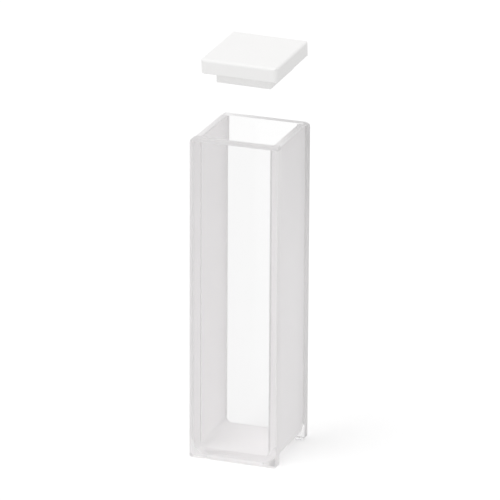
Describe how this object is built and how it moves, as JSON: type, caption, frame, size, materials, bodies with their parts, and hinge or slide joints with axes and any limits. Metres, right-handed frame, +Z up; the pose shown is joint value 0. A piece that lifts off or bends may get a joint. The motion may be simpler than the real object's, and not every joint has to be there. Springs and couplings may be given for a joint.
{
  "type": "cuvette",
  "caption": "Square glass cuvette with clear polished windows front and back, ground side walls and floor, open at the top, and its white PTFE lid lifted off above the mouth.",
  "frame": {"origin": "middle of the footprint, on the plane of the feet", "axes": "+Z up the cell towards the mouth, +Y along the light path from the front window to the rear one, +X to the right across the path"},
  "size_m": [0.0125, 0.0126, 0.0566],
  "materials": {
    "polished_glass": "clear, optically polished faces with ground edges",
    "ground_glass": "fine ground, frosted",
    "ptfe": "smooth matt white PTFE"
  },
  "bodies": {
    "root": {"front_window": "polished_glass", "rear_window": "polished_glass", "u_frame": "ground_glass", "lid": "ptfe"}
  },
  "joints": []
}
